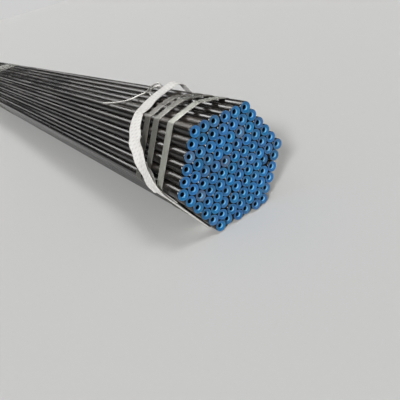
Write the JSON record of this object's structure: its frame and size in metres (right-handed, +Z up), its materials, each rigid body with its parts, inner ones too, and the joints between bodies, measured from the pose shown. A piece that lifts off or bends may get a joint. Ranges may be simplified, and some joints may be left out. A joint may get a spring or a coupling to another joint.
{
  "type": "bundle of steel pipes",
  "caption": "Hexagonal bundle of black steel pipes with plastic end plugs, held by steel straps and lifting slings of webbing.",
  "frame": {"origin": "on the floor, under the bundle's axis, at half of the pipes' length", "axes": "+Y along the pipes from the near ends to the far ends, +Z up, +X to the right seen from the near ends"},
  "size_m": [0.383, 5.8062, 0.3521],
  "materials": {
    "pipe_steel": "black varnish, satin, dusty near the ends",
    "plug_plastic": "moulded blue polyethylene, satin",
    "strap_steel": "dull zinc-coated strapping",
    "webbing": "off-white woven polyester, lightly soiled"
  },
  "bodies": {
    "root": {"pipes_top": "pipe_steel", "pipes_upper_left": "pipe_steel", "pipes_lower_left": "pipe_steel", "pipes_bottom": "pipe_steel", "pipes_lower_right": "pipe_steel", "pipes_upper_right": "pipe_steel", "inner_pipe_core": "pipe_steel", "plugs_near_end": "plug_plastic", "plugs_far_end": "plug_plastic", "strap_near_1": "strap_steel", "strap_near_2": "strap_steel", "strap_near_3": "strap_steel", "strap_middle_1": "strap_steel", "strap_middle_2": "strap_steel", "strap_middle_3": "strap_steel", "strap_middle_4": "strap_steel", "strap_far_1": "strap_steel", "strap_far_2": "strap_steel", "strap_far_3": "strap_steel", "strap_seals": "strap_steel", "sling_near": "webbing", "sling_far": "webbing"}
  },
  "joints": []
}
